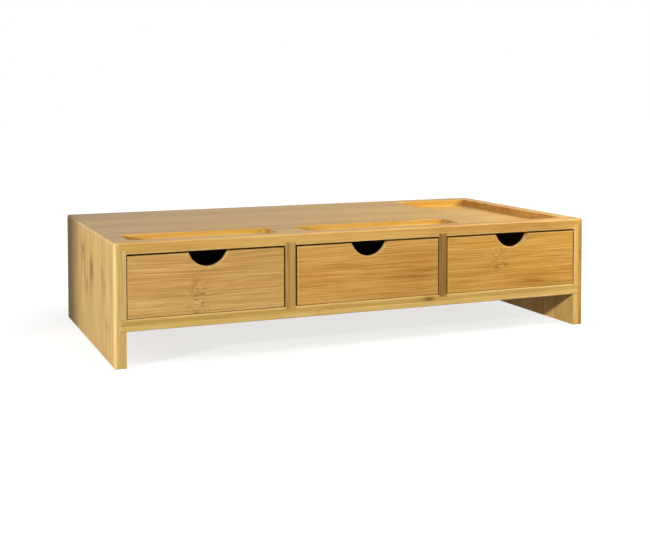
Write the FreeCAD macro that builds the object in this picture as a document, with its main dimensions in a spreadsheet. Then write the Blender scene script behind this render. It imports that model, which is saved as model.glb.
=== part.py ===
import FreeCAD, Part
import Sketcher
import os
import sys

# Monitor stand: a laminated bamboo carcass with three inset drawers.
# Frame: millimetres, +X to the right seen from the front, +Y to the back,
# +Z up. The origin is the centre of the footprint, on the surface it stands on.

doc = FreeCAD.newDocument("monitor_stand")
V = FreeCAD.Vector

# ------------------------------------------------------------------ dimensions
sheet = doc.addObject("Spreadsheet::Sheet", "Dims")

SIZES = [
    # carcass
    ("overall_width", 520.0),
    ("overall_depth", 270.0),
    ("overall_height", 118.5),
    ("board_thick", 11.5),
    ("top_thick", 11.0),
    ("divider_thick", 9.0),          # right divider
    ("left_divider_thick", 10.3),
    ("left_bay_trim", 1.9),          # the left opening is this much under a third of the width
    ("shelf_underside", 34.5),
    ("top_tongue_width", 7.5),       # how far the top board laps onto each panel
    ("top_tongue_thick", 7.0),       # thickness of that lap
    ("shelf_housing", 5.5),          # how far the shelf runs into each panel
    ("divider_head_housing", 3.0),   # divider into the underside of the top board
    ("divider_foot_housing", 2.5),   # divider into the shelf
    ("back_thick", 6.0),
    ("back_inset", 3.0),             # back panel in from the rear faces
    ("back_groove_side", 4.0),
    ("back_groove_board", 3.0),
    ("edge_round", 2.0),
    ("corner_round", 2.5),
    ("foot_round", 1.0),
    ("divider_ease", 0.5),
    # routed recesses in the top board
    ("front_lip", 17.0),
    ("recess_rear", 60.0),           # rear wall of the two front recesses, from the front
    ("end_rim", 18.0),
    ("pen_right_wall", 167.5),       # right wall of the pen recess, from the left
    ("channel_left_wall", 200.0),
    ("channel_right_wall", 374.0),
    ("tray_left_wall", 406.0),
    ("tray_rear_rim", 23.0),
    ("recess_depth", 6.5),
    ("tray_depth", 7.5),
    ("recess_corner", 4.0),
    ("recess_cove", 2.5),
    ("rim_ease", 0.8),
    # drawers
    ("front_thick", 6.5),
    ("front_setback", 0.5),          # front face behind the carcass front
    ("gap_side", 1.1),
    ("gap_above", 2.0),
    ("gap_below", 0.4),
    ("gap_behind", 0.4),
    ("wall_thick", 7.0),
    ("wall_height", 50.0),
    ("wall_inset", 0.5),             # box sides in from the ends of the front
    ("front_rabbet", 4.0),
    ("panel_thick", 3.0),
    ("panel_groove", 3.0),
    ("panel_rise", 4.0),             # underside of the bottom panel above the box's lower edge
    ("notch_radius", 20.5),
    ("notch_centre_rise", 6.5),      # centre of the notch circle above the front's top edge
    ("notch_ease", 1.0),
    ("front_ease", 0.8),
    ("wall_ease", 1.0),
    ("left_drawer_shift", -0.4),     # each drawer sits a little off centre in its opening
    ("middle_drawer_shift", 1.0),
    ("right_drawer_shift", 0.1),
    # fixings
    ("pin_radius", 0.8),
    ("pin_length", 18.0),
    ("pin_low", 14.0),
    ("pin_high", 40.0),
    ("screw_shank_radius", 1.75),
    ("screw_hole_diameter", 3.6),
    ("screw_head_radius", 3.4),
    ("screw_sink", 0.3),
    ("screw_length", 30.0),
    ("screw_front", 40.0),           # front screw, from the front
    ("screw_rear", 220.0),
]

for row, (alias, value) in enumerate(SIZES, start=1):
    sheet.set("A%d" % row, alias)
    sheet.set("B%d" % row, repr(value))
    sheet.setAlias("B%d" % row, alias)
doc.recompute()


class Dim:
    """A length with its value and the spreadsheet expression that drives it."""

    def __init__(self, value, text):
        self.value = value
        self.text = text

    def _pair(self, other):
        if isinstance(other, Dim):
            return other.value, other.text
        return float(other), repr(float(other))

    def __add__(self, other):
        v, t = self._pair(other)
        return Dim(self.value + v, "(%s + %s)" % (self.text, t))

    def __radd__(self, other):
        v, t = self._pair(other)
        return Dim(v + self.value, "(%s + %s)" % (t, self.text))

    def __sub__(self, other):
        v, t = self._pair(other)
        return Dim(self.value - v, "(%s - %s)" % (self.text, t))

    def __rsub__(self, other):
        v, t = self._pair(other)
        return Dim(v - self.value, "(%s - %s)" % (t, self.text))

    def __mul__(self, other):
        v, t = self._pair(other)
        return Dim(self.value * v, "(%s * %s)" % (self.text, t))

    __rmul__ = __mul__

    def __truediv__(self, other):
        v, t = self._pair(other)
        return Dim(self.value / v, "(%s / %s)" % (self.text, t))

    def __neg__(self):
        return Dim(-self.value, "(0 - %s)" % self.text)


VALUES = dict(SIZES)


def dim(alias):
    return Dim(VALUES[alias], "Dims.%s" % alias)


ZERO = Dim(0.0, "0")

W = dim("overall_width")
D = dim("overall_depth")
H = dim("overall_height")
T = dim("board_thick")
TT = dim("top_thick")
DT = dim("divider_thick")
LDT = dim("left_divider_thick")
SHELF_Z = dim("shelf_underside")
SHELF_TOP = SHELF_Z + T
TOP_Z = H - TT                                  # underside of the top board
INNER = W - 2 * T                               # between the side panels
BAY = (INNER - 2 * DT) / 3                      # width of the right drawer opening
LEFT_BAY = BAY - dim("left_bay_trim")
LEFT_DIV = T + LEFT_BAY                         # left faces of the dividers, from the left face
RIGHT_DIV = T + BAY * 2 + DT
BACK_Y = D - dim("back_inset") - dim("back_thick")  # front of the back panel, from the front


# ------------------------------------------------------------------- helpers
def bind(obj, prop, d):
    """Drive one property of an object from the spreadsheet."""
    obj.setExpression(prop, d.text)


def new_body(name):
    body = doc.addObject("PartDesign::Body", name)
    body.Label = name
    return body


def place(obj, x, y, z):
    bind(obj, "Placement.Base.x", x)
    bind(obj, "Placement.Base.y", y)
    bind(obj, "Placement.Base.z", z)


def origin_plane(body, role):
    for feature in body.Origin.OriginFeatures:
        if feature.Role == role:
            return feature
    raise RuntimeError("no origin plane " + role)


def new_sketch(body, name, role, offset=None):
    sketch = body.newObject("Sketcher::SketchObject", name)
    sketch.AttachmentSupport = [(origin_plane(body, role), "")]
    sketch.MapMode = "FlatFace"
    if offset is not None:
        bind(sketch, "AttachmentOffset.Base.z", offset)
    return sketch


def drive(sketch, kind, args, d):
    """Add a dimensional constraint driven by the spreadsheet."""
    index = sketch.addConstraint(Sketcher.Constraint(kind, *args, abs(d.value)))
    sketch.setExpression("Constraints[%d]" % index, d.text)


def fix_point(sketch, geo, pos, x, y, do_x=True, do_y=True):
    if do_x:
        if x.value == 0.0:
            sketch.addConstraint(Sketcher.Constraint("PointOnObject", geo, pos, -2))
        else:
            drive(sketch, "DistanceX", (-1, 1, geo, pos), x)
    if do_y:
        if y.value == 0.0:
            sketch.addConstraint(Sketcher.Constraint("PointOnObject", geo, pos, -1))
        else:
            drive(sketch, "DistanceY", (-1, 1, geo, pos), y)


def polygon(sketch, points):
    """Closed outline through points given as (x, y) Dims, all >= 0."""
    n = len(points)
    first = sketch.GeometryCount
    for i in range(n):
        a, b = points[i], points[(i + 1) % n]
        sketch.addGeometry(
            Part.LineSegment(V(a[0].value, a[1].value, 0), V(b[0].value, b[1].value, 0)),
            False,
        )
    for i in range(n):
        sketch.addConstraint(
            Sketcher.Constraint("Coincident", first + i, 2, first + (i + 1) % n, 1)
        )
    for i in range(n):
        x, y = points[i]
        same_x = same_y = False
        if i > 0:
            px, py = points[i - 1]
            same_x = px.text == x.text
            same_y = py.text == y.text
            if same_x:
                sketch.addConstraint(Sketcher.Constraint("Vertical", first + i - 1))
            if same_y:
                sketch.addConstraint(Sketcher.Constraint("Horizontal", first + i - 1))
        fix_point(sketch, first + i, 1, x, y, not same_x, not same_y)


def rectangle(sketch, x0, y0, x1, y1):
    polygon(sketch, [(x0, y0), (x1, y0), (x1, y1), (x0, y1)])


def circle(sketch, x, y, radius):
    geo = sketch.addGeometry(
        Part.Circle(V(x.value, y.value, 0), V(0, 0, 1), radius.value), False
    )
    fix_point(sketch, geo, 3, x, y)
    drive(sketch, "Radius", (geo,), radius)
    return geo


def pad(body, sketch, length, name, reverse=False):
    feature = body.newObject("PartDesign::Pad", name)
    feature.Profile = sketch
    feature.Reversed = reverse
    bind(feature, "Length", length)
    doc.recompute()
    return feature


def pocket(body, sketch, length, name, reverse=False):
    """Cut a pocket and make sure that it took material away."""
    before = body.Shape.Volume
    feature = body.newObject("PartDesign::Pocket", name)
    feature.Profile = sketch
    feature.Reversed = reverse
    bind(feature, "Length", length)
    doc.recompute()
    if not body.Shape.Volume < before - 1e-3:
        raise RuntimeError("pocket %s in %s cuts nothing" % (name, body.Label))
    return feature


def edges_where(body, test):
    """Names of the tip's edges whose midpoint and end points pass the test."""
    names = []
    base = body.Tip
    for i, edge in enumerate(base.Shape.Edges, start=1):
        if edge.Length < 1e-6:
            continue
        a, b = edge.FirstParameter, edge.LastParameter
        mid = edge.valueAt((a + b) / 2)
        if test(edge, mid, edge.valueAt(a), edge.valueAt(b)):
            names.append("Edge%d" % i)
    return names


def fillet(body, names, radius, name):
    if not names:
        raise RuntimeError("no edges for %s in %s" % (name, body.Label))
    before = body.Shape.Volume
    base = body.Tip
    feature = body.newObject("PartDesign::Fillet", name)
    feature.Base = (base, names)
    bind(feature, "Radius", radius)
    doc.recompute()
    if not feature.Shape.isValid() or abs(body.Shape.Volume - before) < 1e-4:
        raise RuntimeError("fillet %s in %s did nothing" % (name, body.Label))
    return feature


def near(a, b, tol=0.02):
    return abs(a - b) < tol


# -------------------------------------------------------------- side panels
def side_panel(name, mirror):
    """End board: housing for the shelf, rabbet for the top board's lap and a
    stopped groove for the back panel. Local x runs from the left face."""
    body = new_body(name)
    hs, rw, rt = dim("shelf_housing"), dim("top_tongue_width"), dim("top_tongue_thick")

    if mirror:                      # right panel: outer face at x = board thickness
        inner, outer = ZERO, T
        deep, lap = hs, rw
    else:                           # left panel: outer face at x = 0
        inner, outer = T, ZERO
        deep, lap = T - hs, T - rw
    profile = new_sketch(body, name + "_section", "XZ_Plane")
    polygon(
        profile,
        [
            (outer, ZERO),
            (inner, ZERO),
            (inner, SHELF_Z),
            (deep, SHELF_Z),
            (deep, SHELF_TOP),
            (inner, SHELF_TOP),
            (inner, H - rt),
            (lap, H - rt),
            (lap, H),
            (outer, H),
        ],
    )
    pad(body, profile, D, name + "_board", reverse=True)

    groove = new_sketch(body, name + "_back_groove_sketch", "YZ_Plane", inner)
    rectangle(
        groove,
        BACK_Y,
        SHELF_TOP - dim("back_groove_board"),
        BACK_Y + dim("back_thick"),
        TOP_Z + dim("back_groove_board"),
    )
    pocket(body, groove, dim("back_groove_side"), name + "_back_groove", reverse=mirror)

    ox = outer.value
    top, depth = H.value, D.value
    # rounded upright corners on the outside, and the outer top edge
    fillet(
        body,
        edges_where(
            body,
            lambda e, m, a, b: near(a.x, ox) and near(b.x, ox)
            and (near(m.y, 0) or near(m.y, depth) or near(m.z, top)),
        ),
        dim("corner_round"),
        name + "_outer_rounding",
    )
    # front and rear ends of the strip that reaches the top
    fillet(
        body,
        edges_where(
            body,
            lambda e, m, a, b: near(a.z, top) and near(b.z, top)
            and (near(m.y, 0) or near(m.y, depth)) and near(a.y, b.y),
        ),
        dim("edge_round"),
        name + "_top_end_rounding",
    )
    # eased lower edges
    fillet(
        body,
        edges_where(
            body,
            lambda e, m, a, b: near(a.z, 0) and near(b.z, 0)
            and near(a.x, b.x) and abs(a.y - b.y) > 50 and near(a.x, ox),
        ),
        dim("foot_round"),
        name + "_foot_rounding",
    )
    place(body, (W / 2 - T) if mirror else -(W / 2), -(D / 2), ZERO)
    return body


left_side_panel = side_panel("left_side_panel", False)
right_side_panel = side_panel("right_side_panel", True)


# ---------------------------------------------------------------- top board
def make_top_board():
    name = "top_board"
    body = new_body(name)
    lap, lap_t = dim("top_tongue_width"), dim("top_tongue_thick")
    reach = T - lap                               # outside strip of each panel
    wide = W - 2 * reach
    left = reach                                  # local x = 0 is this far from the left face

    outline = new_sketch(body, name + "_outline", "XY_Plane")
    rectangle(outline, ZERO, ZERO, wide, D)
    pad(body, outline, TT, name + "_board")

    # laps over the panels: the ends are thinned from below
    for side, x0, x1 in (("left", ZERO, lap), ("right", wide - lap, wide)):
        s = new_sketch(body, name + "_%s_lap_sketch" % side, "XZ_Plane")
        rectangle(s, x0, ZERO, x1, TT - lap_t)
        pocket(body, s, D, name + "_%s_lap" % side)

    # housings for the heads of the dividers, and the groove for the back panel
    for side, x0, thick in (("left", LEFT_DIV - left, LDT), ("right", RIGHT_DIV - left, DT)):
        s = new_sketch(body, name + "_%s_housing_sketch" % side, "XY_Plane")
        rectangle(s, x0, ZERO, x0 + thick, BACK_Y)
        pocket(body, s, dim("divider_head_housing"), name + "_%s_housing" % side, reverse=True)
    s = new_sketch(body, name + "_back_groove_sketch", "XY_Plane")
    rectangle(s, lap, BACK_Y, wide - lap, BACK_Y + dim("back_thick"))
    pocket(body, s, dim("back_groove_board"), name + "_back_groove", reverse=True)

    # long edges, front and back, rounded on top
    fillet(
        body,
        edges_where(
            body,
            lambda e, m, a, b: near(m.z, TT.value) and near(a.y, b.y)
            and (near(m.y, 0) or near(m.y, D.value)),
        ),
        dim("edge_round"),
        name + "_edge_rounding",
    )

    # three routed recesses
    lip, rear = dim("front_lip"), dim("recess_rear")
    recesses = (
        ("pen_recess", dim("end_rim") - left, lip, dim("pen_right_wall") - left, rear, dim("recess_depth")),
        ("channel", dim("channel_left_wall") - left, lip, dim("channel_right_wall") - left, rear, dim("recess_depth")),
        ("tray", dim("tray_left_wall") - left, lip, W - dim("end_rim") - left, D - dim("tray_rear_rim"), dim("tray_depth")),
    )
    for label, x0, y0, x1, y1, deep in recesses:
        s = new_sketch(body, name + "_%s_sketch" % label, "XY_Plane", TT)
        rectangle(s, x0, y0, x1, y1)
        pocket(body, s, deep, name + "_" + label)
        floor = TT.value - deep.value
        fillet(
            body,
            edges_where(
                body,
                lambda e, m, a, b: near(a.x, b.x) and near(a.y, b.y)
                and (near(a.x, x0.value) or near(a.x, x1.value))
                and (near(a.y, y0.value) or near(a.y, y1.value)),
            ),
            dim("recess_corner"),
            name + "_%s_corners" % label,
        )
        fillet(
            body,
            edges_where(
                body,
                lambda e, m, a, b: near(a.z, floor) and near(b.z, floor)
                and x0.value - 0.1 < m.x < x1.value + 0.1
                and y0.value - 0.1 < m.y < y1.value + 0.1,
            ),
            dim("recess_cove"),
            name + "_%s_cove" % label,
        )
        fillet(
            body,
            edges_where(
                body,
                lambda e, m, a, b: near(a.z, TT.value) and near(b.z, TT.value)
                and x0.value - 0.1 < m.x < x1.value + 0.1
                and y0.value - 0.1 < m.y < y1.value + 0.1,
            ),
            dim("rim_ease"),
            name + "_%s_rim" % label,
        )
    place(body, left - W / 2, -(D / 2), TOP_Z)
    return body


top_board = make_top_board()


# -------------------------------------------------------------- drawer shelf
def make_shelf():
    name = "drawer_shelf"
    body = new_body(name)
    hs = dim("shelf_housing")
    wide = INNER + 2 * hs
    left = T - hs

    outline = new_sketch(body, name + "_outline", "XY_Plane")
    rectangle(outline, ZERO, ZERO, wide, D)
    pad(body, outline, T, name + "_board")

    centres = (LEFT_DIV + LDT / 2 - left, RIGHT_DIV + DT / 2 - left)
    for side, cx, thick in zip(("left", "right"), centres, (LDT, DT)):
        s = new_sketch(body, name + "_%s_housing_sketch" % side, "XY_Plane", T)
        rectangle(s, cx - thick / 2, ZERO, cx + thick / 2, BACK_Y)
        pocket(body, s, dim("divider_foot_housing"), name + "_%s_housing" % side)
    s = new_sketch(body, name + "_back_groove_sketch", "XY_Plane", T)
    gs = dim("back_groove_side")
    rectangle(s, hs - gs, BACK_Y, wide - hs + gs, BACK_Y + dim("back_thick"))
    pocket(body, s, dim("back_groove_board"), name + "_back_groove")

    # countersunk screw holes, drilled from the underside
    s = new_sketch(body, name + "_screw_points", "XY_Plane")
    for cx in centres:
        for y in (dim("screw_front"), dim("screw_rear")):
            circle(s, cx, y, dim("screw_shank_radius"))
    doc.recompute()
    before = body.Shape.Volume
    hole = body.newObject("PartDesign::Hole", name + "_screw_holes")
    hole.Profile = s
    doc.recompute()
    hole.Threaded = False
    hole.DepthType = "ThroughAll"
    bind(hole, "Diameter", dim("screw_hole_diameter"))
    hole.HoleCutType = "Countersink"
    hole.HoleCutCustomValues = True
    hole.HoleCutCountersinkAngle = 90.0
    bind(hole, "HoleCutDiameter", 2 * (dim("screw_head_radius") + dim("screw_sink")))
    hole.Reversed = True
    doc.recompute()
    if not body.Shape.Volume < before - 1.0:
        raise RuntimeError("screw holes cut nothing")

    # eased front edge
    fillet(
        body,
        edges_where(
            body,
            lambda e, m, a, b: near(a.y, 0) and near(b.y, 0) and near(a.z, b.z)
            and (near(m.z, 0) or near(m.z, T.value)),
        ),
        dim("foot_round"),
        name + "_front_easing",
    )
    place(body, left - W / 2, -(D / 2), SHELF_Z)
    return body


drawer_shelf = make_shelf()


# ------------------------------------------------------------------ dividers
def divider(name, from_left, thick):
    body = new_body(name)
    foot, head = dim("divider_foot_housing"), dim("divider_head_housing")
    tall = TOP_Z + head - (SHELF_TOP - foot)
    outline = new_sketch(body, name + "_outline", "YZ_Plane")
    rectangle(outline, ZERO, ZERO, BACK_Y, tall)
    pad(body, outline, thick, name + "_board")
    pilots = new_sketch(body, name + "_pilots", "XY_Plane")
    for y in (dim("screw_front"), dim("screw_rear")):
        circle(pilots, thick / 2, y, dim("screw_shank_radius"))
    reach = SHELF_Z + dim("screw_sink") + dim("screw_length") - (SHELF_TOP - foot)
    pocket(body, pilots, reach, name + "_pilot_holes", reverse=True)
    fillet(
        body,
        edges_where(
            body,
            lambda e, m, a, b: near(a.y, 0) and near(b.y, 0) and near(a.x, b.x)
            and abs(a.z - b.z) > 20,
        ),
        dim("divider_ease"),
        name + "_front_easing",
    )
    place(body, from_left - W / 2, -(D / 2), SHELF_TOP - foot)
    return body


left_divider = divider("left_divider", LEFT_DIV, LDT)
right_divider = divider("right_divider", RIGHT_DIV, DT)


# ---------------------------------------------------------------- back panel
def make_back_panel():
    name = "back_panel"
    body = new_body(name)
    gs, gb = dim("back_groove_side"), dim("back_groove_board")
    outline = new_sketch(body, name + "_outline", "XZ_Plane")
    rectangle(outline, ZERO, ZERO, INNER + 2 * gs, TOP_Z - SHELF_TOP + 2 * gb)
    pad(body, outline, dim("back_thick"), name + "_board", reverse=True)
    place(body, T - gs - W / 2, BACK_Y - D / 2, SHELF_TOP - gb)
    return body


back_panel = make_back_panel()


# ------------------------------------------------------------ divider screws
def make_screws():
    """Countersunk wood screws with a crossed driving recess."""
    parts = []
    head, shank = dim("screw_head_radius"), dim("screw_shank_radius")
    start = SHELF_Z + dim("screw_sink")
    cone_height = head - shank
    for i, x in enumerate((LEFT_DIV + LDT / 2 - W / 2, RIGHT_DIV + DT / 2 - W / 2)):
        for j, y in enumerate((dim("screw_front") - D / 2, dim("screw_rear") - D / 2)):
            tag = "screw_%d%d" % (i, j)
            cone = doc.addObject("Part::Cone", tag + "_head")
            bind(cone, "Radius1", head)
            bind(cone, "Radius2", shank)
            bind(cone, "Height", cone_height)
            place(cone, x, y, start)
            rod = doc.addObject("Part::Cylinder", tag + "_shank")
            bind(rod, "Radius", shank)
            bind(rod, "Height", dim("screw_length") - cone_height - shank)
            place(rod, x, y, start + cone_height)
            tip = doc.addObject("Part::Cone", tag + "_tip")
            bind(tip, "Radius1", shank)
            tip.Radius2 = 0.2
            bind(tip, "Height", shank)
            place(tip, x, y, start + dim("screw_length") - shank)
            body = doc.addObject("Part::MultiFuse", tag + "_solid")
            body.Shapes = [cone, rod, tip]
            slots = []
            for k, (sx, sy) in enumerate(((4.0, 0.8), (0.8, 4.0))):
                slot = doc.addObject("Part::Box", tag + "_slot_%d" % k)
                slot.Length, slot.Width, slot.Height = sx, sy, 1.6
                place(slot, x - sx / 2, y - sy / 2, start - 0.1)
                slots.append(slot)
            cross = doc.addObject("Part::MultiFuse", tag + "_cross")
            cross.Shapes = slots
            cut = doc.addObject("Part::Cut", tag)
            cut.Base = body
            cut.Tool = cross
            parts.append(cut)
    group = doc.addObject("Part::Compound", "divider_screws")
    group.Label = "divider_screws"
    group.Links = parts
    return group


divider_screws = make_screws()


# ------------------------------------------------------------------- drawers
FT = dim("front_thick")
WT = dim("wall_thick")
WH = dim("wall_height")
PT = dim("panel_thick")
PG = dim("panel_groove")
PR = dim("panel_rise")
RB = dim("front_rabbet")
FRONT_W = BAY - 2 * dim("gap_side")                            # middle and right fronts
LEFT_FRONT_W = LEFT_BAY - 2 * dim("gap_side")
NOTCH_X = FRONT_W / 2                                          # from the left end of every front
FRONT_H = TOP_Z - SHELF_TOP - dim("gap_above") - dim("gap_below")
LENGTH = BACK_Y - dim("front_setback") - dim("gap_behind")      # whole drawer, front to back
WALL_X = dim("wall_inset")
WALL_L = LENGTH - (FT - RB)
PIN_FRONT = FT - RB / 2                                        # pin line behind the front face
PIN_BACK = LENGTH - WT / 2


def drawer_front(name, width):
    body = new_body(name)
    outline = new_sketch(body, name + "_outline", "XZ_Plane")
    rectangle(outline, ZERO, ZERO, width, FRONT_H)
    pad(body, outline, FT, name + "_board", reverse=True)

    # rabbets for the box sides, and the groove for the bottom panel
    seat = WALL_X + WT
    s = new_sketch(body, name + "_rabbet_sketch", "XY_Plane")
    rectangle(s, ZERO, FT - RB, seat, FT)
    rectangle(s, width - seat, FT - RB, width, FT)
    pocket(body, s, FRONT_H, name + "_rabbets", reverse=True)
    s = new_sketch(body, name + "_groove_sketch", "YZ_Plane", seat)
    rectangle(s, FT - PG, PR, FT, PR + PT)
    pocket(body, s, width - 2 * seat, name + "_groove", reverse=True)

    # pin holes in the two shoulders
    deep = dim("pin_length") - WT
    for tag, at, flip in (("left", seat, True), ("right", width - seat, False)):
        s = new_sketch(body, name + "_%s_pin_sketch" % tag, "YZ_Plane", at)
        for z in (dim("pin_low"), dim("pin_high")):
            circle(s, PIN_FRONT, z, dim("pin_radius"))
        pocket(body, s, deep, name + "_%s_pin_holes" % tag, reverse=flip)

    # finger notch: a round bite out of the top edge
    s = new_sketch(body, name + "_notch_sketch", "XZ_Plane")
    circle(s, NOTCH_X, FRONT_H + dim("notch_centre_rise"), dim("notch_radius"))
    pocket(body, s, FT, name + "_notch")

    r = VALUES["notch_radius"]
    cx, cz = NOTCH_X.value, FRONT_H.value + VALUES["notch_centre_rise"]

    def on_notch(e, m, a, b):
        return near(((m.x - cx) ** 2 + (m.z - cz) ** 2) ** 0.5, r) and near(a.y, b.y)

    fillet(body, edges_where(body, on_notch), dim("notch_ease"), name + "_notch_easing")
    fillet(
        body,
        edges_where(
            body,
            lambda e, m, a, b: near(m.y, 0) and near(a.y, 0) and near(b.y, 0)
            and (near(m.x, 0) or near(m.x, width.value) or near(m.z, 0)),
        ),
        dim("front_ease"),
        name + "_edge_easing",
    )
    return body


def drawer_side(name, mirror):
    """Local x = 0 on the left face. The groove is on the inside face."""
    body = new_body(name)
    outline = new_sketch(body, name + "_outline", "YZ_Plane")
    rectangle(outline, ZERO, ZERO, WALL_L, WH)
    pad(body, outline, WT, name + "_board")
    s = new_sketch(body, name + "_groove_sketch", "YZ_Plane", ZERO if mirror else WT)
    rectangle(s, RB - PG, PR, WALL_L - WT + PG, PR + PT)
    pocket(body, s, PG, name + "_groove", reverse=mirror)
    s = new_sketch(body, name + "_pin_sketch", "YZ_Plane", WT)
    for y in (PIN_FRONT - (FT - RB), PIN_BACK - (FT - RB)):
        for z in (dim("pin_low"), dim("pin_high")):
            circle(s, y, z, dim("pin_radius"))
    pocket(body, s, WT, name + "_pin_holes")
    fillet(
        body,
        edges_where(
            body,
            lambda e, m, a, b: near(a.z, WH.value) and near(b.z, WH.value) and abs(a.y - b.y) > 20,
        ),
        dim("wall_ease"),
        name + "_top_easing",
    )
    return body


def drawer_back(name, inside):
    body = new_body(name)
    outline = new_sketch(body, name + "_outline", "XZ_Plane")
    rectangle(outline, ZERO, ZERO, inside, WH)
    pad(body, outline, WT, name + "_board", reverse=True)
    s = new_sketch(body, name + "_groove_sketch", "YZ_Plane")
    rectangle(s, ZERO, PR, PG, PR + PT)
    pocket(body, s, inside, name + "_groove", reverse=True)
    deep = dim("pin_length") - WT
    for tag, at, flip in (("left", ZERO, True), ("right", inside, False)):
        s = new_sketch(body, name + "_%s_pin_sketch" % tag, "YZ_Plane", at)
        for z in (dim("pin_low"), dim("pin_high")):
            circle(s, WT / 2, z, dim("pin_radius"))
        pocket(body, s, deep, name + "_%s_pin_holes" % tag, reverse=flip)
    fillet(
        body,
        edges_where(
            body,
            lambda e, m, a, b: near(a.z, WH.value) and near(b.z, WH.value) and abs(a.x - b.x) > 20,
        ),
        dim("wall_ease"),
        name + "_top_easing",
    )
    return body


def drawer_bottom(name, inside):
    body = new_body(name)
    outline = new_sketch(body, name + "_outline", "XY_Plane")
    rectangle(outline, ZERO, ZERO, inside + 2 * PG, LENGTH - FT - WT + 2 * PG)
    pad(body, outline, PT, name + "_board")
    return body


def drawer_pins(name, x, y, z, width):
    """Eight headless steel pins, driven in from the two box sides."""
    pins = []
    outer_left = x + WALL_X
    outer_right = x + width - WALL_X - dim("pin_length")
    for side, px in (("left", outer_left), ("right", outer_right)):
        for place_tag, py in (("front", PIN_FRONT), ("back", PIN_BACK)):
            for level, pz in (("low", dim("pin_low")), ("high", dim("pin_high"))):
                pin = doc.addObject("Part::Cylinder", "%s_%s_%s_%s" % (name, side, place_tag, level))
                bind(pin, "Radius", dim("pin_radius"))
                bind(pin, "Height", dim("pin_length"))
                pin.Placement = FreeCAD.Placement(V(0, 0, 0), FreeCAD.Rotation(V(0, 1, 0), 90))
                place(pin, px, y + py, z + pz)
                pins.append(pin)
    group = doc.addObject("Part::Compound", name)
    group.Label = name
    group.Links = pins
    return group


def drawer(prefix, bay_left, width):
    """One drawer, closed. bay_left is the left wall of its opening, from the left face."""
    x = bay_left + dim("gap_side") + dim(prefix + "_shift") - W / 2
    y = dim("front_setback") - D / 2
    z = SHELF_TOP + dim("gap_below")
    inside = width - 2 * WALL_X - 2 * WT
    front = drawer_front(prefix + "_front", width)
    place(front, x, y, z)
    left = drawer_side(prefix + "_left_side", False)
    place(left, x + WALL_X, y + (FT - RB), z)
    right = drawer_side(prefix + "_right_side", True)
    place(right, x + width - WALL_X - WT, y + (FT - RB), z)
    back = drawer_back(prefix + "_back", inside)
    place(back, x + WALL_X + WT, y + LENGTH - WT, z)
    bottom = drawer_bottom(prefix + "_bottom", inside)
    place(bottom, x + WALL_X + WT - PG, y + FT - PG, z + PR)
    pins = drawer_pins(prefix + "_pins", x, y, z, width)
    return [front, left, right, back, bottom, pins]


nodes = [
    left_side_panel,
    right_side_panel,
    top_board,
    drawer_shelf,
    left_divider,
    right_divider,
    back_panel,
    divider_screws,
]
nodes += drawer("left_drawer", T, LEFT_FRONT_W)
nodes += drawer("middle_drawer", LEFT_DIV + LDT, FRONT_W)
nodes += drawer("right_drawer", RIGHT_DIV + DT, FRONT_W)

# -------------------------------------------------------------------- checks
doc.recompute()
for obj in doc.Objects:
    if "Invalid" in obj.State or "Error" in obj.State:
        sys.exit("%s is in state %s" % (obj.Label, obj.State))
    if obj.TypeId == "Sketcher::SketchObject" and obj.solve() != 0:
        sys.exit("sketch %s does not solve" % obj.Label)
for node in nodes:
    if node.Shape.isNull() or not node.Shape.isValid() or not node.Shape.Solids:
        sys.exit("%s has no valid solid" % node.Label)

# -------------------------------------------------------------------- output
os.makedirs("parts", exist_ok=True)
for node in nodes:
    node.Shape.exportStep(os.path.join("parts", node.Label + ".step"))
    box = node.Shape.BoundBox
    print(
        "%-28s solids %d  x %.2f..%.2f  y %.2f..%.2f  z %.2f..%.2f  volume %.1f"
        % (
            node.Label, len(node.Shape.Solids),
            box.XMin, box.XMax, box.YMin, box.YMax, box.ZMin, box.ZMax,
            node.Shape.Volume,
        )
    )
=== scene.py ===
"""Looks of the bamboo monitor stand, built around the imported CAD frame."""
import math

import bpy
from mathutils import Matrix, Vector


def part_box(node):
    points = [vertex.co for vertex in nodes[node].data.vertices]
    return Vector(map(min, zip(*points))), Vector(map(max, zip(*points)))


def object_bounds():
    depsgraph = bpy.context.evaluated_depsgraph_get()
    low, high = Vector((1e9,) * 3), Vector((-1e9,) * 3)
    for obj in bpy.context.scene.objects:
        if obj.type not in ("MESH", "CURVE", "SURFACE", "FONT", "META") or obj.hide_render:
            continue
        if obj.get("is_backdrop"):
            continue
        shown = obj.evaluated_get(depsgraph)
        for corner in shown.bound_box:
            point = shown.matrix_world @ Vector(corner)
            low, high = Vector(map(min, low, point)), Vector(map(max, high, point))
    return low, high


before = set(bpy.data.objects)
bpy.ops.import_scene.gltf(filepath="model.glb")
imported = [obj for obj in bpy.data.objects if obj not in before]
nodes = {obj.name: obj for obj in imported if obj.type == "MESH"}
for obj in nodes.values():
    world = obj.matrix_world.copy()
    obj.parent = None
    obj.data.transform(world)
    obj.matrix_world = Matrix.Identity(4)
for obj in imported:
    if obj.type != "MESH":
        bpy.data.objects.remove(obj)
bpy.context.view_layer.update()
scene = bpy.context.scene


# ------------------------------------------------------------------ node helpers
def lin(c):
    """sRGB 0..255 to linear RGBA."""
    out = []
    for x in c:
        x = x / 255.0
        out.append(x / 12.92 if x <= 0.04045 else ((x + 0.055) / 1.055) ** 2.4)
    return (*out, 1.0)


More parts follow.
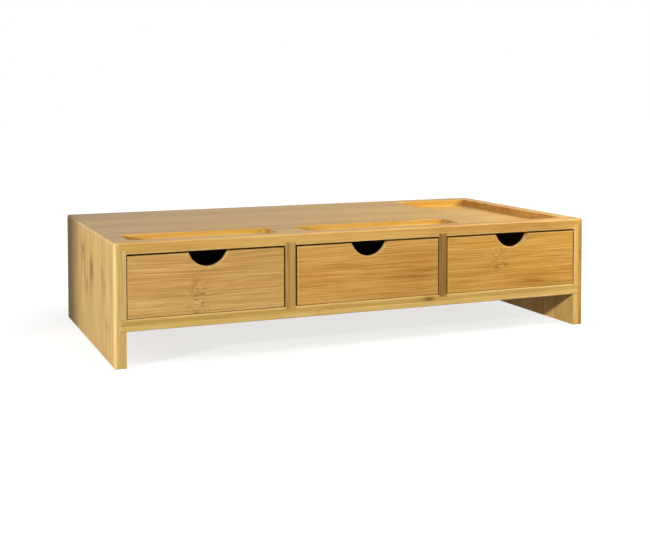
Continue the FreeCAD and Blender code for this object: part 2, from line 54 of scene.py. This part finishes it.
class Val:
    """One output socket of a shader tree, with arithmetic."""

    def __init__(self, graph, socket):
        self.g, self.s = graph, socket

    def __add__(self, o):
        return self.g.math("ADD", self, o)

    __radd__ = __add__

    def __sub__(self, o):
        return self.g.math("SUBTRACT", self, o)

    def __rsub__(self, o):
        return self.g.math("SUBTRACT", o, self)

    def __mul__(self, o):
        return self.g.math("MULTIPLY", self, o)

    __rmul__ = __mul__

    def __truediv__(self, o):
        return self.g.math("DIVIDE", self, o)

    def __neg__(self):
        return self.g.math("MULTIPLY", self, -1.0)


class Graph:
    def __init__(self, tree):
        self.tree = tree
        tree.nodes.clear()

    def node(self, kind, **props):
        n = self.tree.nodes.new(kind)
        for k, v in props.items():
            setattr(n, k, v)
        return n

    def plug(self, socket, value):
        if isinstance(value, Val):
            self.tree.links.new(value.s, socket)
        elif value is not None:
            socket.default_value = value

    def math(self, op, a, b=None, c=None, clamp=False):
        n = self.node("ShaderNodeMath", operation=op, use_clamp=clamp)
        for i, x in enumerate((a, b, c)):
            self.plug(n.inputs[i], x)
        return Val(self, n.outputs[0])

    def absolute(self, a):
        return self.math("ABSOLUTE", a)

    def floor(self, a):
        return self.math("FLOOR", a)

    def frac(self, a):
        return self.math("FRACT", a)

    def low(self, a, b):
        return self.math("MINIMUM", a, b)

    def high(self, a, b):
        return self.math("MAXIMUM", a, b)

    def power(self, a, b):
        return self.math("POWER", a, b)

    def bell(self, d, width):
        """exp(-(d / width)^2)"""
        q = d * (1.0 / width)
        return self.math("EXPONENT", self.math("MULTIPLY", q * q, -1.0))

    def step(self, x, a, b, lo=0.0, hi=1.0):
        """Smooth step from lo to hi while x goes from a to b."""
        n = self.node("ShaderNodeMapRange", interpolation_type="SMOOTHSTEP", clamp=True)
        if a > b:
            a, b, lo, hi = b, a, hi, lo
        for i, v in enumerate((x, a, b, lo, hi)):
            self.plug(n.inputs[i], v)
        return Val(self, n.outputs[0])

    def line(self, x, a, b, lo=0.0, hi=1.0, clamp=True):
        n = self.node("ShaderNodeMapRange", interpolation_type="LINEAR", clamp=clamp)
        for i, v in enumerate((x, a, b, lo, hi)):
            self.plug(n.inputs[i], v)
        return Val(self, n.outputs[0])

    def vec(self, x, y, z):
        n = self.node("ShaderNodeCombineXYZ")
        for i, v in enumerate((x, y, z)):
            self.plug(n.inputs[i], v)
        return Val(self, n.outputs[0])

    def split(self, v):
        n = self.node("ShaderNodeSeparateXYZ")
        self.plug(n.inputs[0], v)
        return [Val(self, o) for o in n.outputs]

    def noise(self, v, scale=1.0, detail=2.0, rough=0.5, distortion=0.0):
        n = self.node("ShaderNodeTexNoise", noise_dimensions="3D")
        self.plug(n.inputs["Vector"], v)
        n.inputs["Scale"].default_value = scale
        n.inputs["Detail"].default_value = detail
        n.inputs["Roughness"].default_value = rough
        n.inputs["Distortion"].default_value = distortion
        return Val(self, n.outputs[0])

    def white(self, x):
        n = self.node("ShaderNodeTexWhiteNoise", noise_dimensions="1D")
        self.plug(n.inputs["W"], x)
        return Val(self, n.outputs["Value"])

    def lerp(self, t, a, b):
        n = self.node("ShaderNodeMix", data_type="FLOAT", clamp_factor=True)
        self.plug(n.inputs[0], t)
        self.plug(n.inputs[2], a)
        self.plug(n.inputs[3], b)
        return Val(self, n.outputs[0])

    def blend(self, t, a, b, mode="MIX"):
        n = self.node("ShaderNodeMix", data_type="RGBA", blend_type=mode, clamp_factor=True)
        self.plug(n.inputs[0], t)
        self.plug(n.inputs[6], a)
        self.plug(n.inputs[7], b)
        return Val(self, n.outputs[2])

    def ramp(self, t, stops):
        n = self.node("ShaderNodeValToRGB")
        n.color_ramp.interpolation = "B_SPLINE" if len(stops) > 2 else "LINEAR"
        els = n.color_ramp.elements
        while len(els) < len(stops):
            els.new(0.5)
        for e, (p, c) in zip(els, stops):
            e.position, e.color = p, c
        self.plug(n.inputs[0], t)
        return Val(self, n.outputs[0])

    def scale_colour(self, colour, value):
        """Multiply a colour by a grey value."""
        n = self.node("ShaderNodeVectorMath", operation="SCALE")
        self.plug(n.inputs[0], colour)
        self.plug(n.inputs["Scale"], value)
        return Val(self, n.outputs[0])


# ---------------------------------------------------------------------- bamboo
AXES = {"X": 0, "Y": 1, "Z": 2}

# light to dark along the ramp, sRGB
PANEL = ((150, 100, 42), (196, 151, 84), (219, 177, 107), (233, 195, 127), (243, 211, 152))
TOP = ((148, 97, 38), (193, 143, 70), (215, 169, 92), (229, 187, 113), (241, 206, 146))
BOARD = ((146, 98, 38), (188, 142, 68), (211, 167, 90), (226, 186, 110), (240, 206, 142))
EDGE = ((140, 98, 40), (176, 138, 68), (203, 162, 86), (220, 182, 106), (236, 204, 138))
FRONT = ((142, 91, 30), (183, 130, 54), (204, 152, 76), (218, 168, 93), (234, 194, 128))
TAWNY = ((142, 93, 34), (180, 132, 62), (200, 154, 83), (214, 170, 101), (232, 195, 134))
GOLD = ((98, 62, 24), (144, 100, 46), (174, 128, 64), (194, 149, 82), (212, 172, 104))
DARK = ((92, 54, 22), (132, 88, 40), (160, 114, 56), (184, 138, 74), (206, 164, 98))


def bamboo(
    name,
    grain,                   # axis the fibres run along
    width,                   # axis the strips lie side by side on
    origin=(0.0, 0.0, 0.0),  # lowest corner of the board, mm: strips are counted from it
    strip=22.0,
    seed=1.0,
    ramp=BOARD,
    tone=0.0,                # shifts the whole board along the ramp
    strip_tone=0.16,
    streak=1.0,              # contrast of the long soft streaks
    lines=1.0,               # contrast of the thin dark fibres
    cuts=(),                 # where one glued layer ends and the next begins, on the third axis
    layer_tones=(0.0,),      # shift of each layer
    marks=(),                # node marks: (place along grain, from, to, scar, blotch)
    period=0.0,              # spacing of the other node marks along one strip, 0 for none
    power=0.5,               # their strength
    end_dark=0.30,           # how much darker the cut ends of the fibres are
    edge_dark=0.0,           # how much darker the long edges are than the faces
    edge_tint=(1.0, 1.0, 0.92),   # colour of the long edges against the faces
    warm=1.0,                # scale of the blue channel
    rough=0.42,
    coat=0.22,
    coat_rough=0.2,
    box=None,                # lowest and highest corner, mm, for worn arrises
    wear=0.3,
    patches=(),              # soft darker places: ((x, y, z), (rx, ry, rz), strength)
    shade_recess_walls=False,            # painted shade: darker, deeper colour on the upright walls of cut-out recesses and the coves at their foot
    pale_lit_notch=False,              # paler wood and a painted highlight on the curved edge of the finger notch
):
    mat = bpy.data.materials.new(name)
    mat.use_nodes = True
    g = Graph(mat.node_tree)
    out = g.node("ShaderNodeOutputMaterial")
    bsdf = g.node("ShaderNodeBsdfPrincipled")
    g.tree.links.new(bsdf.outputs[0], out.inputs[0])

    coord = g.node("ShaderNodeTexCoord")
    mmv = g.node("ShaderNodeVectorMath", operation="SCALE")
    g.tree.links.new(coord.outputs["Object"], mmv.inputs[0])
    mmv.inputs["Scale"].default_value = 1000.0
    xyz = g.split(Val(g, mmv.outputs[0]))
    normal = g.split(Val(g, coord.outputs["Normal"]))
    third = ({"X", "Y", "Z"} - {grain, width}).pop()
    u, v, w = (xyz[AXES[a]] for a in (grain, width, third))
    nu = g.step(g.absolute(normal[AXES[grain]]), 0.35, 0.9)
    nv = g.step(g.absolute(normal[AXES[width]]), 0.35, 0.9)
    v0 = origin[AXES[width]]

    # which strip, and which glued layer of it
    wobble = (g.noise(g.vec(u * 0.012, v * 0.02, w * 0.02 + seed), detail=1.0) - 0.5) * 0.7
    lay = None
    for c in cuts:
        st = g.step(w + wobble, c - 0.12, c + 0.12)
        lay = st if lay is None else lay + st
    count = g.math("ROUND", lay) if lay is not None else 0.0
    s = (v - v0) * (1.0 / strip) + seed * 0.173
    if lay is not None:
        s = s + count * 0.37
    index = g.floor(s)
    part = s - index
    key = index * 1.31 + seed * 9.13
    if lay is not None:
        key = key + count * 5.7
    r1, r2, r3 = g.white(key), g.white(key + 31.7), g.white(key + 77.1)

    # node marks of the culm, staggered from strip to strip
    ragged = g.noise(g.vec(u * 0.01, v * 0.16, w * 0.16 + seed * 2.0), detail=3.0, rough=0.7) - 0.5
    scar = blotch = push_at = None
    if period:
        uu = u + r2 * 700.0 + seed * 53.0
        cell = g.floor(uu * (1.0 / period))
        at = (g.white(cell * 3.1 + key) * 0.5 + 0.25 + cell) * period
        dn = uu - at + ragged * 10.0
        inside = g.step(part, 0.03, 0.16) * g.step(part, 0.97, 0.84)
        there = g.step(g.white(cell * 7.7 + key + 3.0), 0.30, 0.45) * inside * power
        scar = g.bell(dn, 1.3) * there
        blotch = g.bell(dn + 2.0, 8.0) * there * 0.5
        push_at = g.bell(dn, 15.0) * there
    for i, (place, lo, hi, cut, soft) in enumerate(marks):
        lean = (v - (lo + hi) / 2.0) * (0.14 if i % 2 else -0.12)
        dn = u - place + ragged * 11.0 + lean
        edge = min(5.0, 0.3 * (hi - lo))
        inside = g.step(v, lo - edge, lo + edge) * g.step(v, hi + edge, hi - edge)
        m = g.bell(dn, 2.4) * inside * cut
        m = g.high(m, g.bell(dn - 6.0, 1.8) * inside * (0.7 * cut))
        m = g.high(m, g.bell(dn + 6.4, 1.6) * inside * (0.5 * cut))
        h = g.bell(dn, 9.0) * inside * soft
        p = g.bell(dn, 13.0) * inside
        scar = m if scar is None else g.high(scar, m)
        blotch = h if blotch is None else g.high(blotch, h)
        push_at = p if push_at is None else g.high(push_at, p)

    # the fibres wander a little, and crowd and bend at a node
    wander = g.noise(g.vec(u * 0.008, v * 0.02, w * 0.02 + seed), detail=1.0) - 0.5
    vv = v + wander * 4.5
    if push_at is not None:
        push = g.noise(g.vec(u * 0.05, v * 0.22, w * 0.22 + seed * 3.0), detail=2.0, rough=0.6) - 0.5
        vv = vv + push * push_at * 12.0

    # streaks along the grain, from broad bands to single fibres
    shift = key * 13.7
    broad = g.noise(g.vec((u + shift) * 0.0028, vv * 0.085, w * 0.085 + seed), detail=1.0)
    middle = g.noise(g.vec((u - shift) * 0.0066, vv * 0.23, w * 0.23 + seed), detail=1.0)
    thin = g.noise(g.vec((u + shift) * 0.0115, vv * 0.68, w * 0.68), detail=1.0)
    fine = g.noise(g.vec((u - shift) * 0.022, vv * 1.05, w * 1.05), detail=1.5, rough=0.6)
    thread = g.noise(g.vec((u - shift) * 0.010, vv * 0.66 + 40.0, w * 0.66), detail=2.0, rough=0.5)
    dash = g.noise(g.vec(u * 0.09, vv * 2.4, w * 2.4 + 9.0), detail=1.0, rough=0.6)
    cloud = g.noise(g.vec(u * 0.018, v * 0.05, w * 0.05 + seed * 5.0), detail=2.0, rough=0.6)

    grainy = (broad - 0.5) * 0.40 + (middle - 0.5) * 0.21 + (cloud - 0.5) * 0.24
    grainy = grainy + g.step(thin, 0.41, 0.59, -0.5, 0.5) * 0.22
    grainy = grainy + g.step(fine, 0.41, 0.59, -0.5, 0.5) * 0.22
    dark = g.step(thread, 0.54, 0.63) * 0.13 + g.step(dash, 0.58, 0.70) * 0.12
    calm = 1.0 - nv * 0.45
    t = (r1 - 0.5) * strip_tone + grainy * calm * streak - dark * calm * lines
    t = t + (0.53 + tone)
    base_tone = layer_tones[0]
    if lay is not None:
        t = t + base_tone
        for i in range(len(cuts)):
            t = t + g.step(lay, i + 0.35, i + 0.65) * (layer_tones[i + 1] - layer_tones[i])
    if blotch is not None:
        t = t - blotch * 0.10
    t = t - nu * end_dark - nv * edge_dark

    if scar is not None:
        # short curved dashes round a node, paler wood between them
        bits = g.noise(g.vec(u * 0.17, vv * 0.62, w * 0.62 + seed), detail=2.0, rough=0.6)
        t = t + push_at * g.step(bits, 0.56, 0.44, -0.5, 0.5) * 0.22 - push_at * 0.03
    for (px, py, pz), (rx, ry, rz), depth in patches:
        q = []
        for c, p, r in zip(xyz, (px, py, pz), (rx, ry, rz)):
            d = (c - p) * (1.0 / r)
            q.append(d * d)
        blob = g.math("EXPONENT", (q[0] + q[1] + q[2] + (cloud - 0.5) * 1.5) * -1.0)
        t = t - blob * depth

    t = g.math("ADD", t, 0.0, clamp=True)
    n = g.node("ShaderNodeValToRGB")
    els = n.color_ramp.elements
    while len(els) < 5:
        els.new(0.5)
    for e, p, c in zip(els, (0.0, 0.25, 0.5, 0.75, 1.0), ramp):
        e.position, e.color = p, lin(c)
    g.plug(n.inputs[0], t)
    colour = Val(g, n.outputs[0])

    # a little red or green from strip to strip and along it
    hue = g.noise(g.vec(u * 0.007, v * 0.045, w * 0.045 + seed * 7.0), detail=1.0) - 0.5
    hue = hue * 0.09 + (r3 - 0.5) * 0.03
    ex, ey, ez = (nv * (e - 1.0) + 1.0 for e in edge_tint)
    tint = g.vec((hue + 1.0) * ex, ey, (1.0 - hue) * ez * warm)
    n = g.node("ShaderNodeVectorMath", operation="MULTIPLY")
    g.plug(n.inputs[0], colour)
    g.plug(n.inputs[1], tint)
    colour = Val(g, n.outputs[0])

    # glue lines between strips and between layers
    seam = g.low(part, 1.0 - part) * strip
    glue = g.step(seam, 0.38, 0.10) * (1.0 - nu)
    colour = g.blend(glue * 0.30, colour, lin((112, 72, 30)))
    for c in cuts:
        line = g.step(g.absolute(w + wobble - c), 0.26, 0.06)
        colour = g.blend(line * (1.0 - nu * 0.8) * 0.12, colour, lin((120, 80, 36)))

    if scar is not None:
        chop = g.noise(g.vec(u * 0.14, v * 0.52, w * 0.52 + seed), detail=2.0, rough=0.6)
        colour = g.blend(scar * g.step(chop, 0.50, 0.60) * 0.62, colour, lin((122, 76, 30)))
        colour = g.blend(scar * g.step(chop, 0.48, 0.40) * 0.40, colour, lin((236, 196, 130)))
        colour = g.blend(blotch * 0.30, colour, lin((168, 112, 56)))

    # arrises rub paler and lose their gloss
    worn = shaded_recess_wall = None
    if box is not None:
        d = [g.low(xyz[i] - box[0][i], box[1][i] - xyz[i]) for i in range(3)]
        # paler cut wood and a painted highlight: the curved edge of the finger notch is lightened all round
        if pale_lit_notch:
            lit_notch_edge = g.step(g.low(d[0], d[2]), 1.5, 2.5) * g.step(g.absolute(normal[1]), 0.85, 0.4)
            colour = g.blend(lit_notch_edge * 0.55, colour, lin((240, 208, 150)))
        # painted shade: the recess walls and the coves at their foot are darkened and deepened in colour, more in
        # the tray at the back than in the front recesses, and made rougher
        if shade_recess_walls:
            shaded_cove = g.step(g.absolute(normal[2]), 0.97, 0.75) * g.step(d[2], 1.0, 2.0)
            shaded_recess_wall = g.high(g.step(g.absolute(normal[2]), 0.8, 0.3), shaded_cove)
            shaded_recess_wall = shaded_recess_wall * g.step(g.low(d[0], d[1]), 4.0, 6.0)
            ahead = g.step(xyz[1], 40.0, -80.0)
            n = g.node("ShaderNodeVectorMath", operation="MULTIPLY")
            g.plug(n.inputs[0], colour)
            wall_shade = [g.lerp(ahead, a, b) for a, b in ((0.23, 0.05), (0.31, 0.02), (0.66, 0.32))]
            g.plug(n.inputs[1], g.vec(*(1.0 - shaded_recess_wall * k for k in wall_shade)))
            colour = Val(g, n.outputs[0])
        second = g.high(g.low(d[0], d[1]), g.low(g.high(d[0], d[1]), d[2]))
        chip = g.noise(g.vec(xyz[0] * 0.09, xyz[1] * 0.09, xyz[2] * 0.09), detail=3.0, rough=0.65)
        worn = g.step(second + (chip - 0.5) * 2.2, 1.7, 0.3)
        colour = g.blend(worn * wear, colour, lin((236, 206, 146)))

    g.plug(bsdf.inputs["Base Color"], colour)
    r = (fine - 0.5) * 0.18 + (cloud - 0.5) * 0.10 + nu * 0.14 + rough
    if worn is not None:
        r = r + worn * 0.12
    if shaded_recess_wall is not None:
        r = r + shaded_recess_wall * 0.2
    g.plug(bsdf.inputs["Roughness"], r)
    bsdf.inputs["Coat Weight"].default_value = coat
    bsdf.inputs["Coat Roughness"].default_value = coat_rough
    bsdf.inputs["IOR"].default_value = 1.45

    height = fine * 0.5 + dash * 0.5 - glue * 0.8
    if scar is not None:
        height = height + scar * 0.8
    bump = g.node("ShaderNodeBump")
    bump.inputs["Strength"].default_value = 0.30
    bump.inputs["Distance"].default_value = 0.00007
    g.plug(bump.inputs["Height"], height)
    g.tree.links.new(bump.outputs[0], bsdf.inputs["Normal"])
    return mat


def steel(name, tint, rough):
    mat = bpy.data.materials.new(name)
    mat.use_nodes = True
    g = Graph(mat.node_tree)
    out = g.node("ShaderNodeOutputMaterial")
    bsdf = g.node("ShaderNodeBsdfPrincipled")
    g.tree.links.new(bsdf.outputs[0], out.inputs[0])
    coord = g.node("ShaderNodeTexCoord")
    n = g.noise(Val(g, coord.outputs["Object"]), scale=900.0, detail=3.0)
    g.plug(bsdf.inputs["Base Color"], g.ramp(n, [(0.3, lin([0.8 * c for c in tint])), (0.7, lin(tint))]))
    bsdf.inputs["Metallic"].default_value = 1.0
    g.plug(bsdf.inputs["Roughness"], n * 0.2 + (rough - 0.1))
    return mat


def node_box(name):
    low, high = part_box(name)
    return [1000.0 * c for c in low], [1000.0 * c for c in high]


def dress(name, material):
    obj = nodes[name]
    obj.data.materials.clear()
    obj.data.materials.append(material)


# ------------------------------------------------------------------- the boards
low, high = node_box("left_side_panel")
dress(
    "left_side_panel",
    bamboo(
        "left_panel_bamboo", "Z", "Y", origin=low, strip=23.0, seed=1.0, ramp=PANEL,
        strip_tone=0.16, streak=1.1, cuts=(-256.3, -252.3), layer_tones=(0.04, 0.0, -0.03),
        edge_dark=0.08, edge_tint=(0.98, 1.05, 1.05), end_dark=0.12,
        marks=(
            (77.0, -29.0, -11.0, 1.0, 0.9),
            (92.0, 20.0, 40.0, 1.0, 0.9),
            (80.0, -86.0, -66.0, 0.9, 0.3),
            (66.0, -96.0, -78.0, 0.9, 0.3),
            (58.0, 2.0, 24.0, 0.9, 0.4),
            (34.0, -106.0, -92.0, 0.8, 0.3),
        ),
        patches=(
            ((-260.0, -122.0, 90.0), (30.0, 12.0, 24.0), 0.12),
            ((-260.0, -19.0, 74.0), (30.0, 9.0, 20.0), 0.34),
            ((-260.0, 28.0, 90.0), (30.0, 9.0, 16.0), 0.30),
            ((-260.0, 12.0, 55.0), (30.0, 8.0, 14.0), 0.14),
            ((-260.0, -83.0, 74.0), (30.0, 7.0, 18.0), 0.12),
        ),
        box=(low, high), wear=0.35,
    ),
)
low, high = node_box("right_side_panel")
dress(
    "right_side_panel",
    bamboo(
        "right_panel_bamboo", "Z", "Y", origin=low, strip=23.0, seed=2.3, ramp=BOARD,
        strip_tone=0.20, streak=1.0, lines=0.8, cuts=(254.2, 258.6), layer_tones=(0.04, -0.25, -0.04),
        period=300.0, power=0.7, end_dark=0.12, box=(low, high), wear=0.3,
    ),
)

low, high = node_box("top_board")
dress(
    "top_board",
    bamboo(
        "top_board_bamboo", "X", "Y", origin=low, strip=23.0, seed=3.1, ramp=TOP,
        strip_tone=0.12, streak=0.75, lines=0.7, edge_dark=0.07, period=330.0, power=0.5,
        # the recess walls get painted shade
        box=(low, high), shade_recess_walls=True,
        patches=(
            ((-195.0, -135.0, 112.5), (16.0, 12.0, 5.0), 0.12),
            ((-242.0, -135.0, 113.0), (22.0, 12.0, 8.0), 0.06),
            ((-60.0, -135.0, 113.0), (100.0, 9.0, 14.0), -0.12),
            ((205.0, -135.0, 113.0), (9.0, 12.0, 4.0), 0.16),
            ((172.0, -135.0, 113.0), (80.0, 9.0, 14.0), 0.18),
            ((200.0, 0.0, 111.0), (90.0, 160.0, 3.0), -0.12),
            ((60.0, -128.5, 119.0), (110.0, 4.0, 2.5), 0.14),
        ),
    ),
)

low, high = node_box("drawer_shelf")
dress(
    "drawer_shelf",
    bamboo(
        "drawer_shelf_bamboo", "X", "Y", origin=low, strip=23.0, seed=4.4, ramp=EDGE,
        tone=0.08, edge_tint=(1.0, 1.01, 0.95),
        strip_tone=0.10, streak=0.9, lines=0.7, cuts=(40.0, 43.6), layer_tones=(0.12, -0.13, -0.02),
        period=330.0, power=0.5, box=(low, high), wear=0.2,
        patches=(
            ((68.0, -135.0, 43.0), (7.0, 12.0, 2.6), 0.5),
            ((150.0, -135.0, 40.0), (60.0, 12.0, 12.0), 0.07),
        ),
    ),
)

for side, seed, tone, cuts in (
    ("left", 5.2, 0.07, (-88.4, -86.0)),
    ("right", 6.6, -0.05, (83.4, 86.4)),
):
    low, high = node_box(side + "_divider")
    dress(
        side + "_divider",
        bamboo(
            side + "_divider_bamboo", "Z", "Y", origin=low, strip=22.0, seed=seed,
            ramp=GOLD if side == "left" else DARK, warm=1.0 if side == "left" else 0.76,
            strip_tone=0.14, streak=1.1, tone=tone, cuts=cuts,
            layer_tones=(-0.04, -0.02, 0.20) if side == "left" else (-0.14, 0.10, -0.02),
            box=(low, high), wear=0.1,
        ),
    )

low, high = node_box("back_panel")
dress(
    "back_panel",
    bamboo(
        "back_panel_bamboo", "X", "Z", origin=low, strip=21.0, seed=7.5, ramp=BOARD,
        period=260.0, power=0.6, box=(low, high),
    ),
)

# ------------------------------------------------------------------ the drawers
FRONT_PATCHES = {
    "left": (),
    "middle": (((62.0, -135.0, 62.0), (38.0, 12.0, 40.0), 0.12), ((-30.0, -135.0, 82.0), (60.0, 12.0, 20.0), -0.10)),
    "right": (((216.0, -135.0, 50.0), (35.0, 12.0, 15.0), 0.12),),
}
FRONT_MARKS = {
    "left": ((-181.0, 44.0, 79.0, 0.9, 0.15),),
    "middle": (),
    "right": ((153.0, 68.0, 92.0, 0.8, 0.15),),
}
for k, side in enumerate(("left", "middle", "right")):
    p = side + "_drawer_"
    low, high = node_box(p + "front")
    dress(
        p + "front",
        bamboo(
            p + "front_bamboo", "X", "Z", origin=low, strip=34.0, seed=11.0 + 3.7 * k,
            ramp=(TAWNY, FRONT, FRONT)[k],
            strip_tone=0.10, streak=1.0, marks=FRONT_MARKS[side], warm=(0.96, 0.86, 0.75)[k],
            tone=(0.05, 0.02, 0.0)[k], patches=FRONT_PATCHES[side], box=(low, high), wear=0.15,
            # the finger notch's edge gets paler wood and a painted highlight
            pale_lit_notch=True,
        ),
    )
    for part, grain, width in (("left_side", "Y", "Z"), ("right_side", "Y", "Z"), ("back", "X", "Z")):
        low, high = node_box(p + part)
        dress(
            p + part,
            bamboo(
                p + part + "_bamboo", grain, width, origin=low, strip=19.0,
                seed=20.0 + 5.1 * k + len(part), ramp=BOARD, tone=0.04, period=300.0, power=0.5,
                rough=0.46, coat=0.1, box=(low, high),
            ),
        )
    low, high = node_box(p + "bottom")
    dress(
        p + "bottom",
        bamboo(
            p + "bottom_bamboo", "X", "Y", origin=low, strip=18.0, seed=31.0 + 4.3 * k,
            ramp=BOARD, tone=0.06, period=260.0, power=0.5, rough=0.50, coat=0.05,
        ),
    )
    dress(p + "pins", steel(p + "pins_steel", (176, 174, 170), 0.34))
dress("divider_screws", steel("screw_zinc", (206, 198, 168), 0.30))


# -------------------------------------------------------------- floor and studio
def plane(name, size, location):
    mesh = bpy.data.meshes.new(name)
    a = size / 2.0
    mesh.from_pydata([(-a, -a, 0), (a, -a, 0), (a, a, 0), (-a, a, 0)], [], [(0, 1, 2, 3)])
    obj = bpy.data.objects.new(name, mesh)
    obj.location = location
    scene.collection.objects.link(obj)
    return obj


floor = plane("floor", 14.0, (0, 0, 0))
floor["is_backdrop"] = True
floor.visible_diffuse = False
floor.visible_glossy = False
mat = bpy.data.materials.new("pale_floor")
mat.use_nodes = True
g = Graph(mat.node_tree)
out = g.node("ShaderNodeOutputMaterial")
diffuse = g.node("ShaderNodeBsdfDiffuse")
diffuse.inputs["Color"].default_value = (0.32, 0.32, 0.32, 1.0)
glow = g.node("ShaderNodeEmission")
glow.inputs["Color"].default_value = (1.0, 1.0, 1.0, 1.0)
coord = g.node("ShaderNodeTexCoord")
x, y, z = g.split(Val(g, coord.outputs["Object"]))
radius = g.power(x * x + y * y, 0.5)
g.plug(glow.inputs["Strength"], g.step(radius, 0.18, 0.43, 0.72, 1.0))
add = g.node("ShaderNodeAddShader")
g.tree.links.new(diffuse.outputs[0], add.inputs[0])
g.tree.links.new(glow.outputs[0], add.inputs[1])
g.tree.links.new(add.outputs[0], out.inputs[0])
floor.data.materials.append(mat)

# The studio round the object: dim behind and to the left, open towards the front.
world = bpy.data.worlds.new("studio")
scene.world = world
world.use_nodes = True
g = Graph(world.node_tree)
out = g.node("ShaderNodeOutputWorld")
coord = g.node("ShaderNodeTexCoord")
x, y, z = g.split(Val(g, coord.outputs["Generated"]))
above = g.step(z, -0.10, 0.06, 0.0, 1.0)
front = g.step(y, 0.35, -0.6, 0.0, 1.0)
high_up = g.step(z, 0.15, 0.8, 0.0, 1.0)
lower = g.lerp(front, g.step(x, -0.10, 0.35, 0.10, 0.42), 0.26)
behind = g.step(x, 0.25, 0.6, 0.62, 0.26)
upper = g.lerp(front, g.lerp(high_up, behind, 0.10), g.lerp(high_up, 0.34, 0.16))
left = g.step(x, -0.3, -0.9, 1.0, 1.05)
soft = g.node("ShaderNodeBackground")
g.plug(soft.inputs["Strength"], g.lerp(above, lower, upper) * left)
soft.inputs["Color"].default_value = (1.0, 0.985, 0.96, 1.0)
plain = g.node("ShaderNodeBackground")
plain.inputs["Color"].default_value = (1.0, 1.0, 1.0, 1.0)
plain.inputs["Strength"].default_value = 1.0
path = g.node("ShaderNodeLightPath")
mix = g.node("ShaderNodeMixShader")
g.tree.links.new(path.outputs["Is Camera Ray"], mix.inputs[0])
g.tree.links.new(soft.outputs[0], mix.inputs[1])
g.tree.links.new(plain.outputs[0], mix.inputs[2])
g.tree.links.new(mix.outputs[0], out.inputs[0])


def aim(name, light, location, target):
    obj = bpy.data.objects.new(name, light)
    obj.location = location
    obj.rotation_mode = "QUATERNION"
    obj.rotation_quaternion = (Vector(target) - Vector(location)).to_track_quat("-Z", "Y")
    scene.collection.objects.link(obj)
    return obj


def softbox(name, location, target, size, power, colour=(1.0, 1.0, 1.0)):
    light = bpy.data.lights.new(name, "AREA")
    light.shape = "RECTANGLE"
    light.size, light.size_y = size
    light.energy = power
    light.color = colour
    return aim(name, light, location, target)


def lamp(name, location, target, radius, power, cone, blend, colour=(1.0, 1.0, 1.0)):
    light = bpy.data.lights.new(name, "SPOT")
    light.shadow_soft_size = radius
    light.energy = power
    light.color = colour
    light.spot_size = math.radians(cone)
    light.spot_blend = blend
    return aim(name, light, location, target)


lamp("left_front", (-1.384, -0.699, 0.372), (0.0, -0.30, 0.06), 0.03, 73.0, 37.3, 0.10, (1.0, 0.99, 0.97))
key = softbox("right_key", (0.65, -0.28, 0.48), (0.12, -0.05, 0.08), (0.50, 0.50), 8.6, (1.0, 0.965, 0.88))
key.visible_glossy = False
softbox("front_fill", (0.10, -1.7, 0.55), (0.0, -0.1, 0.06), (0.8, 0.5), 3.4, (1.0, 0.99, 0.97))

# ----------------------------------------------------------------------- camera
cam = bpy.data.cameras.new("camera")
cam.sensor_width = 36.0
cam.lens = 62.103
cam.shift_x = -0.05494
cam.shift_y = -0.20651
cam.clip_start, cam.clip_end = 0.02, 50.0
cam_obj = bpy.data.objects.new("camera", cam)
cam_obj.location = (-0.46383, -1.17515, 0.25863)
cam_obj.rotation_euler = (math.radians(90.0 - 2.5), 0.0, math.radians(-23.5751))
scene.collection.objects.link(cam_obj)
scene.camera = cam_obj

scene.view_settings.view_transform = "Standard"
scene.view_settings.look = "None"
scene.view_settings.exposure = 0.0
scene.view_settings.gamma = 1.0

low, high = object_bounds()
